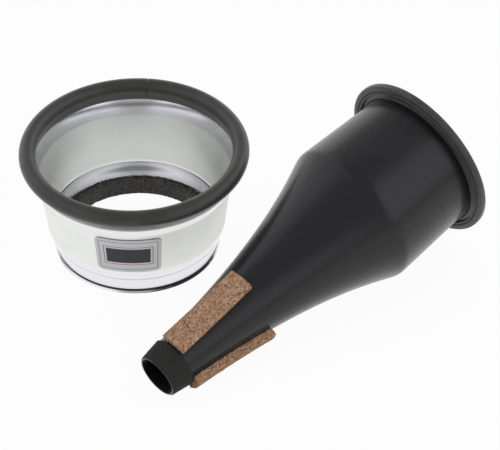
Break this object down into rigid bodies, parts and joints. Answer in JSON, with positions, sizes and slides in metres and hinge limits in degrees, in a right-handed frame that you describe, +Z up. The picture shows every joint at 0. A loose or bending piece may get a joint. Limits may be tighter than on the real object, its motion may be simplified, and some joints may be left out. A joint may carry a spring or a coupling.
{
  "type": "trumpet cup mute",
  "caption": "Cone mute for a trumpet, corked at its narrow end and closed at its wide end, with a felt-collared metal cup that slides on it, shown taken off.",
  "frame": {"origin": "on the table, at the middle of the floor area that the lying cone and the standing cup cover", "axes": "+Z up; +X along the lying cone from its narrow end to its wide end; the cup stands on the +Y side"},
  "size_m": [0.1988, 0.2026, 0.0945],
  "materials": {
    "black_coat": "satin black coat on spun aluminium",
    "black_rubber": "semi-matt",
    "matt_sleeve": "matt",
    "bare_aluminium": "spun, satin wall and polished flare",
    "black_felt": "felt",
    "cork": "agglomerated cork",
    "foil": "printed foil"
  },
  "bodies": {
    "mute_body": {"cone_body": "black_coat", "end_plate": "black_coat", "end_edging": "black_rubber", "throat_sleeve": "matt_sleeve", "cork_strip_1": "cork", "cork_strip_2": "cork", "cork_strip_3": "cork"},
    "cup": {"cup_shell": "bare_aluminium", "rim_edging": "black_rubber", "collar_felt": "black_felt", "label": "foil"}
  },
  "joints": [
    {"name": "cup_slide", "type": "slide", "parent": "mute_body", "child": "cup", "axis": [0, 0, 1], "range_m": [0, 0.195]}
  ]
}
